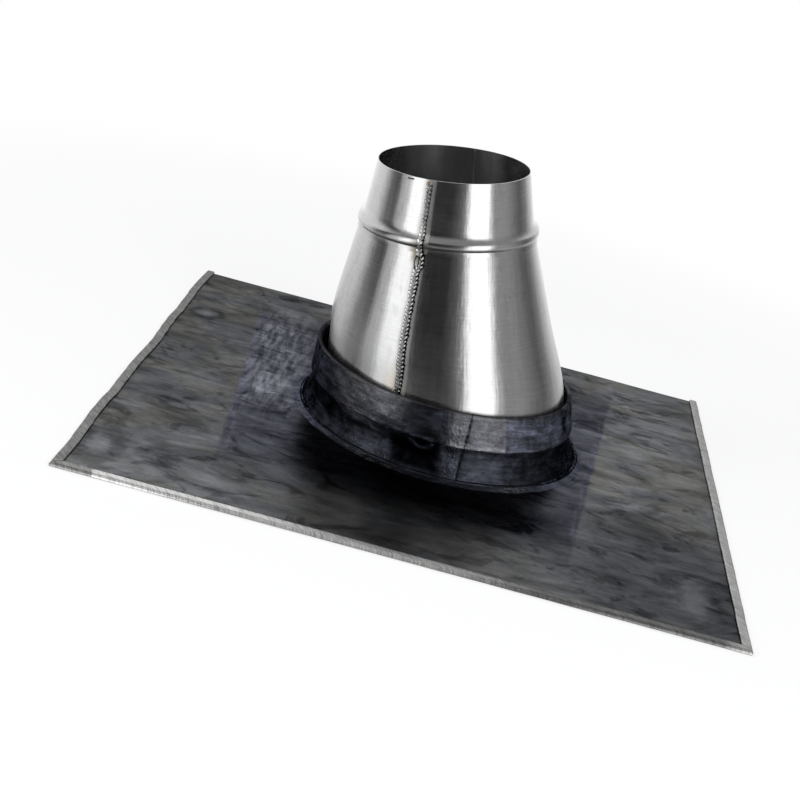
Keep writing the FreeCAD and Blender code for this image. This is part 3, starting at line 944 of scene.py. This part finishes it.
@dataclass
class SeamWeld:
    """The weld down the front seam: a rope painted dark as shade beside a flatter lane painted bright, lumpy over the
    bead.
    """

    neck: SteelNeck
    cone: SteelCone
    start: float = 3.0
    inner_start: float = 1.9
    turned: float = -1.5
    lumps: tuple[tuple[float, float, float], ...] = ((43.0, 3.0, 1.0), (57.5, 3.5, 1.0), (50.0, 2.0, 0.6))
    narrow: float = 0.72
    bend_at: float = 62.0
    bend: float = 2.3

    def outside(self) -> list[np.ndarray]:
        """Points down the seam, evenly about a millimetre apart."""
        profile = self.neck.profile(0.0)
        points = [self.neck.point(radius, max(down, self.start), self.neck.seam) for radius, down in profile]
        return self.evenly(points + self.cone.seam_line(), 1.0)

    @staticmethod
    def evenly(points: list[np.ndarray], pitch: float) -> list[np.ndarray]:
        """Points at an even pitch along a line through the given ones."""
        path = np.array(points)
        lengths = path_lengths(path)
        places = np.arange(0.0, lengths[-1], pitch)
        return list(np.stack([np.interp(places, lengths, path[:, k]) for k in range(3)], -1))

    def frames(self, points: list[np.ndarray]) -> list[np.ndarray]:
        """Outward directions along the seam."""
        a = math.radians(self.neck.seam + self.turned)
        radial = np.array([math.cos(a), math.sin(a), 0.0])
        outs = []
        for k in range(len(points)):
            along = points[min(k + 2, len(points) - 1)] - points[max(k - 2, 0)]
            along /= np.linalg.norm(along)
            out = radial - along * radial.dot(along)
            outs.append(out / np.linalg.norm(out))
        return outs

    def lane(self, bead: RippleBead, shift: float, sway: float, material: bpy.types.Material) -> bpy.types.Object:
        """Lay one lane of the weld.

        Args:
            bead: the lane's puddles.
            shift: how far it lies to the right of the seam, in millimetres.
            sway: how far it wanders, in millimetres.
            material: its material.

        Returns:
            The lane.
        """
        points = self.outside()
        outs = self.frames(points)
        moved, swells = [], []
        for k, (point, out) in enumerate(zip(points, outs)):
            along = points[min(k + 1, len(points) - 1)] - points[max(k - 1, 0)]
            side = np.cross(out, along / np.linalg.norm(along))
            drift = sway * rough((0.0, 0.0, k), 6.0, shift)
            lump = sum(size * hump(k, place, width) for place, width, size in self.lumps)
            narrow = self.narrow + (1.0 - self.narrow) * smooth(k, 44.0, 60.0)
            aside = hump(k, self.bend_at, 5.5, 4)
            swell = narrow * (1.0 + 0.45 * lump) * (1.0 + 0.12 * rough((k, 0.0, 0.0), 5.0, shift))
            swells.append(swell * (1.0 - 0.9 * aside) if shift < 0.0 else swell)
            moved.append(point + side * (shift * narrow + drift * (1.0 + 1.2 * lump) + aside * self.bend))
        return bead.build(moved, outs, swells, material)

    def rope(self, material: bpy.types.Material) -> bpy.types.Object:
        """Lay the rope, painted dark as shade, on the seam's right."""
        bead = RippleBead("seam_rope", pitch=3.3, width=2.3, length=6.2, height=1.15, lean=12.0, twist=-30.0,
                          jitter=0.18, seed=5)
        return self.lane(bead, 1.1, 0.45, material)

    def scales(self, material: bpy.types.Material) -> bpy.types.Object:
        """Lay the flatter scales, painted bright, on the seam's left."""
        bead = RippleBead("seam_scales", pitch=2.8, width=3.2, length=5.4, height=0.50, lean=10.0, twist=48.0,
                          jitter=0.16, seed=8)
        return self.lane(bead, -1.5, 0.35, material)

    def root(self, material: bpy.types.Material) -> bpy.types.Object:
        """Lay the thin root that shows inside the neck and cone."""
        inner = self.neck.profile(self.neck.steel)
        points = [self.neck.point(r, max(s, self.inner_start), self.neck.seam) for r, s in inner]
        rows = self.cone.surface(self.cone.steel, np.array([0.0]))[:, 0]
        points = self.evenly(points + [row for row in rows if row[2] > 8.0][3:], 2.0)
        outs = [-out for out in self.frames(points)]
        bead = RippleBead("seam_root", pitch=1.9, width=2.4, length=3.0, height=0.45, lean=8.0, seed=9)
        return bead.build(points, outs, [1.0] * len(points), material)


# ---------------------------------------------------------------- lead


@dataclass
class LeadPlate:
    """The folded square sheet, with the small unevenness of hand-folded lead."""

    step: float = 5.0
    half: float = 250.0
    sheet: float = 1.8
    flap_from: float = 235.0
    bend_from: float = 34.0
    bend_to: float = 9.0
    belly: float = 0.55
    merge: float = 1e-6
    centre: tuple[float, float] = (6.7, 18.5)

    def cut_grid(self, mesh: bpy.types.Mesh) -> None:
        """Divide a mesh by a square grid of upright planes, so that it can be shaped."""
        work = bmesh.new()
        work.from_mesh(mesh)
        bmesh.ops.remove_doubles(work, verts=work.verts, dist=self.merge)
        count = int(2 * self.half / self.step)
        for axis in ((1, 0, 0), (0, 1, 0)):
            for k in range(1, count):
                place = Vector(axis) * ((-self.half + k * self.step) * MM)
                geometry = work.verts[:] + work.edges[:] + work.faces[:]
                bmesh.ops.bisect_plane(work, geom=geometry, dist=self.merge / 10.0, plane_co=place, plane_no=axis)
        work.to_mesh(mesh)
        work.free()

    def shape(self, point: np.ndarray) -> np.ndarray:
        """Move one point of the plate, in millimetres, to where the dressed sheet has it."""
        x, y, z = point
        moved = point.copy()
        left, right, front = (smooth(out, self.half - self.bend_from, self.half - self.bend_to) for out in (-x, x, -y))
        wave = 1.1 + math.sin(y / 26.0 + 0.6) * math.sin(y / 61.0 + 1.2) + 0.5 * rough((0, y, 0), 22.0)
        moved[0] += left * min(max(wave, 0.0), 2.4)
        moved[0] -= right * (0.4 + 0.35 * rough((50.0, y, 0), 30.0))
        moved[1] += front * (0.35 + 0.3 * rough((x, 70.0, 0), 34.0))
        if z > self.sheet + 0.3:
            moved[2] -= 0.22 * abs(rough(point, 7.0, 3.0))
            if abs(x) > self.flap_from:
                flap = 1.0 - smooth(abs(x), self.half - 8.0, self.half - 7.0)
                moved[0] += 0.5 * rough((0, y, 0), 9.0, 5.0) * flap
        away = math.hypot(x - self.centre[0], y - self.centre[1])
        moved[2] += smooth(away, 150.0, 210.0) * self.belly * (0.5 + 0.5 * rough((x * 0.6, y, 0), 70.0, 1.0))
        return moved

    def build(self, node: bpy.types.Object) -> bpy.types.Object:
        """Shape a copy of the CAD plate."""
        mesh = node.data.copy()
        mesh.name = "folded_plate"
        self.cut_grid(mesh)
        for vertex in mesh.vertices:
            vertex.co = Vector(self.shape(np.array(vertex.co) / MM) * MM)
        for layer in list(mesh.uv_layers):
            mesh.uv_layers.remove(layer)
        return finish_mesh("folded_plate", mesh, 32.0)


@dataclass
class LeadCollar:
    """The leaning lead collar: rounded fold, doubled band, cove and flange, dressed by hand."""

    x: float = 6.7
    y: float = 18.5
    lean: float = 0.154
    sheet: float = 1.8
    top: float = 55.7
    thick: float = 2.2
    band_top: float = 108.7
    band_foot: float = 112.2
    band_foot_z: float = 28.2
    cove_top: float = 110.3
    flange: float = 120.4
    flange_thick: float = 2.4
    lip: float = 3.0
    fold: float = 2.0
    dent: float = 0.50
    notch: float = 0.8
    melted: tuple[float, float] = (-109.0, -84.0)
    lobe: tuple[float, float] = (-94.0, 25.0)
    lobe_size: tuple[float, float] = (4.6, 5.6)
    columns: int = 600

    def radius(self, z: float) -> float:
        """Outer radius at a height, down the band and then the cove."""
        if z >= self.band_foot_z:
            t = (z - self.band_foot_z) / (self.top - self.fold - self.band_foot_z)
            return self.band_foot + t * (self.band_top - self.band_foot)
        t = (self.band_foot_z - z) / (self.band_foot_z - self.sheet - self.flange_thick)
        return self.cove_top + (self.flange - self.lip - self.cove_top) * t**2.4

    def section(self) -> tuple[np.ndarray, np.ndarray, np.ndarray]:
        """The closed section.

        Returns:
            Its points as radius and height, their unrolled heights, and how much relief each takes.
        """
        fold = self.fold
        rows = [(self.radius(z) - self.thick, z, z, 0.0) for z in (8.0, 14.0, 20.0)]
        for z in np.linspace(self.band_foot_z, self.top - fold, 9):
            t = (z - self.band_foot_z) / (self.top - fold - self.band_foot_z)
            r = self.cove_top - self.thick + t * (self.band_top - 2 * fold - self.cove_top + self.thick)
            rows.append((r, z, z, 0.0))
        for k in range(1, 9):
            a = math.radians(180 - 20 * k)
            height = self.top - fold + fold * math.sin(a)
            rows.append((self.band_top - fold + fold * math.cos(a), height, height, 0.25 + 0.05 * k))
        rows += [(self.radius(z), z, z, 1.0) for z in np.linspace(self.top - fold, self.band_foot_z + 0.6, 26)]
        for radius, down, relief in ((self.band_foot - 0.15, -0.2, 1.0), (self.band_foot - 0.6, 0.0, 1.0),
                                     (self.cove_top, 0.1, 0.3)):
            rows.append((radius, self.band_foot_z - down, self.band_foot_z - down, relief))
        cove = [*np.linspace(self.band_foot_z - 0.8, 8.0, 22), *np.linspace(7.4, 4.6, 6)]
        rows += [(self.radius(z), z, z, 1.0) for z in cove]
        top = self.sheet + self.flange_thick
        rows += [(self.flange - back, top, back - self.lip + top, 0.8) for back in (3.0, 2.2, 1.4, 0.6)]
        rows += [(self.flange, top - 0.7, -0.2, 0.5), (self.flange, self.sheet, -0.5, 0.0),
                 (self.flange - 5.6, self.sheet, -0.5, 0.0)]
        table = np.array(rows)
        return table[:, :2], table[:, 2], table[:, 3]

    def relief(self, azimuth: float, z: float, where: np.ndarray) -> float:
        """How far the dressed surface stands out from the plain one, in millimetres."""
        dents = self.dent * rough(where, 17.0, 2.0) + 0.14 * rough(where, 5.0, 4.0)
        across = (azimuth - joint_azimuth(z)) * WALL_ARC
        notch = -hump(across, 0.0, self.notch) * (0.65 + 0.35 * math.sin(z * 3.7))
        notch *= smooth(z, 3.0, 6.0) * smooth(52.0 - z, 0.0, 3.0)
        melted = smooth(azimuth, self.melted[0], self.melted[0] + 5.0) * smooth(self.melted[1] - azimuth, 0.0, 3.0)
        soft = min(max(0.0, 0.5 + 1.4 * rough((azimuth, 0.0, 0.0), 14.0, 5.0)) * (1.0 - smooth(azimuth, -104.0, -60.0)),
                   1.0)
        under = smooth(z, 14.0, 26.0) * smooth(self.band_foot_z + 0.1 - z, 0.0, 0.2)
        fill = (1.7 * melted + 0.7 * soft * (1.0 - melted)) * under
        aside, above = ((value - at) / size for value, at, size in zip((azimuth, z), self.lobe, self.lobe_size))
        ring = hump(math.hypot(aside, above), 0.8, 0.34)
        lobe = 0.85 * ring * smooth(31.5 - z, 0.0, 2.0)
        return dents + notch + fill + lobe

    def place(self, radius: float, z: float, azimuth: float) -> np.ndarray:
        """A collar point in the row frame."""
        a = math.radians(azimuth)
        shift = self.lean * (z - self.sheet)
        return np.array([self.x + radius * math.cos(a) - shift, self.y + radius * math.sin(a), z])

    def build(self) -> bpy.types.Object:
        """Make the collar as one closed shell with its relief."""
        section, heights, weights = self.section()
        slope = np.roll(section, -1, axis=0) - np.roll(section, 1, axis=0)
        normal = np.stack([-slope[:, 1], slope[:, 0]], -1)
        normal /= np.linalg.norm(normal, axis=1, keepdims=True)
        if normal[np.argmax(section[:, 0] * (section[:, 1] > 30)), 0] < 0:
            normal = -normal
        angles = round_angles(self.columns) - 270.0
        points = np.zeros((len(section), self.columns, 3))
        for j, azimuth in enumerate(angles):
            for i, ((radius, z), (nr, nz)) in enumerate(zip(section, normal)):
                raised = 0.0
                if weights[i] > 0:
                    where = self.place(radius, z, azimuth)
                    raised = weights[i] * self.relief(azimuth, z, where)
                points[i, j] = self.place(radius + nr * raised, z + nz * raised, azimuth)
        uv = np.zeros((len(section) + 1, self.columns + 1, 2))
        uv[..., 0] = np.append(angles, 90.0)[None, :] / UV_UNIT
        uv[..., 1] = np.append(heights, heights[0])[:, None] / UV_UNIT
        return shell_object("dressed_collar", points, uv, "Unrolled")


@dataclass
class JointBurn:
    """The burned run over the collar's upright joint."""

    collar: LeadCollar
    azimuth: float = -80.6
    width: float = 16.0
    top: float = 50.0
    foot: float = 7.0
    sunk: float = 0.9
    rows: int = 56
    columns: int = 34

    def build(self) -> bpy.types.Object:
        """Make a closed pad that swells out of the collar and is sunk in it at its edges."""
        rows, columns = self.rows, self.columns
        outer, inner = np.zeros((rows, columns, 3)), np.zeros((rows, columns, 3))
        places = np.zeros((rows, columns, 2))
        for i, z in enumerate(np.linspace(self.top, self.foot, rows)):
            half = self.width / 2 / WALL_ARC * (1.0 + 0.10 * rough((z, 0, 0), 5.0))
            radius = self.collar.radius(z)
            for j, t in enumerate(np.linspace(-1, 1, columns)):
                azimuth = self.azimuth + half * t
                where = self.collar.place(radius, z, azimuth)
                fade = smooth(1.0 - abs(t), 0.0, 0.7) * smooth(self.top - z, 0.0, 7.0) * smooth(z, self.foot, 12.0)
                grain = 0.6 * rough(where, 3.4, 8.0) + 0.5 * rough((azimuth * WALL_ARC, z, 0), 1.6, 11.0)
                lift = self.collar.relief(azimuth, z, where) - 0.12 + fade * (0.32 + 0.40 * grain)
                outer[i, j] = self.collar.place(radius + lift, z, azimuth)
                inner[i, j] = self.collar.place(radius - self.sunk, z, azimuth)
                places[i, j] = azimuth / UV_UNIT, z / UV_UNIT
        count = rows * columns
        faces = []
        for a in (i * columns + j for i in range(rows - 1) for j in range(columns - 1)):
            faces.append((a, a + columns, a + columns + 1, a + 1))
            faces.append((count + a, count + a + 1, count + a + columns + 1, count + a + columns))
        grid = np.arange(count).reshape(rows, columns)
        border = np.concatenate([grid[0], grid[1:, -1], grid[-1, -2::-1], grid[-2:0:-1, 0]]).tolist()
        faces += [(a, b, count + b, count + a) for a, b in zip(border, border[1:] + border[:1])]
        flat = np.concatenate([outer.reshape(-1, 3), inner.reshape(-1, 3)]) * MM
        mesh = bpy.data.meshes.new("burned_joint")
        mesh.from_pydata(flat.tolist(), [], faces)
        both = np.concatenate([places.reshape(-1, 2), places.reshape(-1, 2)])
        layer = mesh.uv_layers.new(name="Unrolled")
        corners = np.array([loop.vertex_index for loop in mesh.loops])
        layer.data.foreach_set("uv", both[corners].reshape(-1).astype(np.float32))
        work = bmesh.new()
        work.from_mesh(mesh)
        bmesh.ops.recalc_face_normals(work, faces=work.faces)
        work.to_mesh(mesh)
        work.free()
        return finish_mesh("burned_joint", mesh, 60.0)


@dataclass
class CollarBurn:
    """The burned fillet between the collar's flange and the plate."""

    collar: LeadCollar
    outer: float = 125.4
    ripple: float = 1.1
    columns: int = 720

    def build(self) -> bpy.types.Object:
        """Make the fillet as a closed ring with wiped ripples."""
        collar = self.collar
        flange, sheet, high = collar.flange, collar.sheet, collar.sheet + collar.flange_thick
        slope = [(flange - 1.4 + t * 6.4, high - (high - sheet - 0.1) * t**0.8) for t in np.linspace(0.04, 1.0, 11)]
        rows = [(flange - 2.6, high - 0.5), (flange - 2.0, high + 0.05), *slope, (self.outer, sheet),
                (flange - 2.6, sheet)]
        points = np.zeros((len(rows), self.columns, 3))
        for j, azimuth in enumerate(round_angles(self.columns)):
            for i, (radius, z) in enumerate(rows):
                where = collar.place(radius, z, azimuth)
                if 0 < i < len(rows) - 2:
                    ripple = math.sin(azimuth * WALL_ARC / self.ripple + 1.5 * rough(where, 9.0, 6.0))
                    z = max(z + 0.16 * rough(where, 5.0, 2.0) + 0.05 * ripple, sheet + 0.02)
                spread = rough(where, 20.0, 9.0, 2) * smooth(radius, flange, self.outer)
                points[i, j] = collar.place(min(radius + spread, self.outer + 1.0), z, azimuth)
        uv = np.zeros((len(rows) + 1, self.columns + 1, 2))
        return shell_object("wiped_fillet", points, uv, "Unrolled")


# ---------------------------------------------------------------- studio


@dataclass(frozen=True)
class Surround:
    """The soft boxes and dark screens that stand round the boot, as polished metal shows them.

    The rim holds azimuths in degrees, counted from the front to the right, each with its brightness.
    """

    ceiling: float = 0.42
    full: float = 3.0
    rim: tuple[tuple[float, float], ...] = (
        (-180.0, 1.50), (-132.0, 1.30), (-110.0, 1.20), (-101.0, 0.75), (-92.0, 0.16), (-77.0, 0.06),
        (-72.0, 0.80), (-60.0, 1.10), (-55.0, 2.50), (-38.0, 2.50), (-33.0, 1.20), (-27.0, 0.12),
        (-20.0, 0.01), (4.0, 0.01), (16.0, 0.12), (25.0, 0.34), (29.0, 2.10), (36.0, 3.00),
        (56.0, 3.00), (62.0, 1.00), (68.0, 0.50), (88.0, 0.52), (104.0, 0.30), (118.0, 0.16),
        (130.0, 0.36), (146.0, 0.95), (165.0, 1.30), (180.0, 1.50))

    def level(self, tree: Tree, x: Field, y: Field) -> Field:
        """The rim's brightness toward a direction given by its two level components."""
        turn = x.angle(-y) / math.tau + 0.5
        stops = [((azimuth + 180.0) / FULL_TURN, level / self.full) for azimuth, level in self.rim]
        return tree.value("ShaderNodeValToRGB", {"stops": stops}, {0: turn}) * self.full


@dataclass
class Studio:
    """Floor, light and camera, with the camera's angles in degrees and its eye in millimetres."""

    focal: float = 1558.8
    frame: float = 800.0
    sensor: float = 36.0
    eye: tuple[float, float, float] = (-18.3, -1207.8, 478.3)
    down: float = 20.803
    yaw: float = 0.549
    roll: float = 14.862
    floor_half: float = 30.0
    paper: float = 0.86
    hole: tuple[float, float] = (0.003, 0.0185)
    aim: tuple[float, float, float] = (0.0, 0.0, 0.1)
    surround: Surround = Surround()

    def floor(self) -> None:
        """A wide pale floor that keeps the boot's shadow."""
        mesh = bpy.data.meshes.new("floor")
        half = self.floor_half
        mesh.from_pydata([(-half, -half, 0), (half, -half, 0), (half, half, 0), (-half, half, 0)], [], [(0, 1, 2, 3)])
        plane = add_object("floor", mesh)
        material = bpy.data.materials.new("floor_white")
        material.use_nodes = True
        tree = Tree(material.node_tree, empty=True)
        x, y, _ = tree.split(tree.node("ShaderNodeTexCoord").outputs["Object"])
        away = apart(x, y, (0.0, 0.0))
        close = away.step(0.9, 0.25)
        # Painted shadow: under the pipe's hole the floor's glow in reflections is nearly black, as the floor there lies
        # in the boot's shade.
        under = apart(x, y, self.hole).step(0.0130, 0.0125)
        table = self.surround.level(tree, x, y) * (0.85 - close * 0.45) + close * 0.36
        paper = tree.node("ShaderNodeBsdfDiffuse", None, {"Color": grey(self.paper)})
        glow = tree.node("ShaderNodeEmission", None, {"Color": grey(1.0), "Strength": 1.0})
        mirrored = tree.node("ShaderNodeEmission", None, {"Strength": table * (1.0 - under) + under * 0.07})
        paths = tree.node("ShaderNodeLightPath").outputs
        lit = tree.blend(0.70 + away.step(0.16, 0.9) * 0.30, paper, glow)
        plain = tree.blend(paths["Is Camera Ray"], paper, lit)
        both = tree.blend(paths["Is Glossy Ray"], plain, mirrored)
        tree.node("ShaderNodeOutputMaterial", None, {"Surface": both})
        mesh.materials.append(material)

    def sky(self) -> None:
        """A world that is white to the camera and in reflections, and a soft even light otherwise."""
        world = bpy.data.worlds.new("studio")
        world.use_nodes = True
        bpy.context.scene.world = world
        tree = Tree(world.node_tree, empty=True)
        x, y, z = tree.split(tree.node("ShaderNodeTexCoord").outputs["Generated"])
        high = z.step(0.50, 0.82)
        ring = self.surround.level(tree, x, y) * (1.0 - high) + high * self.surround.ceiling
        paths = tree.node("ShaderNodeLightPath").outputs
        soft = tree.node("ShaderNodeBackground", None, {"Color": (0.97, 0.985, 1.0, 1.0), "Strength": 0.62})
        white = tree.node("ShaderNodeBackground", None, {"Color": grey(1.0), "Strength": 1.0})
        rim = tree.node("ShaderNodeBackground", None, {"Strength": ring})
        seen = Field(tree, paths["Is Camera Ray"]).highest(Field(tree, paths["Is Transmission Ray"]))
        both = tree.blend(paths["Is Glossy Ray"], tree.blend(seen, soft, white), rim)
        tree.node("ShaderNodeOutputWorld", None, {"Surface": both})

    def lamp(self, name: str, place: tuple[float, float, float], size: tuple[float, float], power: float) -> None:
        """Add a soft box that faces the boot."""
        light = bpy.data.lights.new(name, "AREA")
        light.shape = "RECTANGLE"
        light.size, light.size_y = size
        light.energy = power
        lamp = add_object(name, light)
        lamp.location = place
        lamp.rotation_euler = (Vector(self.aim) - Vector(place)).to_track_quat("-Z", "Y").to_euler()
        lamp.visible_glossy = False

    def camera(self) -> None:
        """Set up the camera."""
        down, yaw, roll = (math.radians(angle) for angle in (self.down, self.yaw, self.roll))
        spin = Matrix.Rotation(yaw, 3, "Z")
        ahead = spin @ Vector((0.0, math.cos(down), -math.sin(down)))
        over = spin @ Vector((0.0, math.sin(down), math.cos(down)))
        side = spin @ Vector((1.0, 0.0, 0.0))
        right = side * math.cos(roll) + over * math.sin(roll)
        up = over * math.cos(roll) - side * math.sin(roll)
        matrix = Matrix((right, up, -ahead)).transposed().to_4x4()
        matrix.translation = Vector(self.eye) * MM
        lens = bpy.data.cameras.new("camera")
        lens.sensor_width = self.sensor
        lens.lens = self.focal / self.frame * self.sensor
        lens.clip_start, lens.clip_end = 0.05, 100.0
        camera = add_object("camera", lens)
        camera.matrix_world = matrix
        bpy.context.scene.camera = camera

    def build(self) -> None:
        """Set up the whole studio."""
        self.floor()
        self.sky()
        self.lamp("lamp_right", (1.0, -1.5, 1.7), (0.9, 1.4), 26.0)
        self.lamp("lamp_left", (-1.7, -0.9, 1.5), (0.7, 1.4), 20.0)
        self.camera()
        bpy.context.scene.view_settings.view_transform = "Standard"
        log.info("studio ready")


def main() -> None:
    """Build the boot's pieces in order."""
    logging.basicConfig(level=logging.INFO, format="%(message)s")
    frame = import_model()
    steel = BrushedSteel().build()
    # Two copies of one weld metal: a lit copy for the scales and a shaded copy, nearly black, for the rope and the
    # root.
    bright = WeldMetal("weld_scales_painted_lit", low=0.06, high=1.0, crown_glint=0.45, rough=0.28).build()
    dark = WeldMetal("weld_rope_painted_shade", low=0.004, high=0.85, crown_glint=0.82, rough=0.26).build()
    neck = SteelNeck()
    cone = SteelCone(neck)
    dress(neck.build(), steel, Slot.STAINLESS, "spigot")
    dress(cone.build(), steel, Slot.STAINLESS, "cone")
    seam = SeamWeld(neck, cone)
    dress(seam.rope(dark), dark, Slot.WELD, "seam_weld")
    dress(seam.scales(bright), bright, Slot.WELD)
    dress(seam.root(dark), dark, Slot.WELD)
    dress(LeadPlate().build(frame["nodes"]["lead_plate"]), PlateLead().build(), Slot.SHEET_LEAD, "lead_plate")
    collar = LeadCollar()
    worked = CollarLead().build()
    dress(collar.build(), worked, Slot.SHEET_LEAD, "lead_collar")
    dress(JointBurn(collar).build(), worked, Slot.BURNED_LEAD, "joint_burn")
    dress(CollarBurn(collar).build(), BurnedLead().build(), Slot.BURNED_LEAD, "collar_burn")
    Studio().build()


if __name__ == "__main__":
    main()
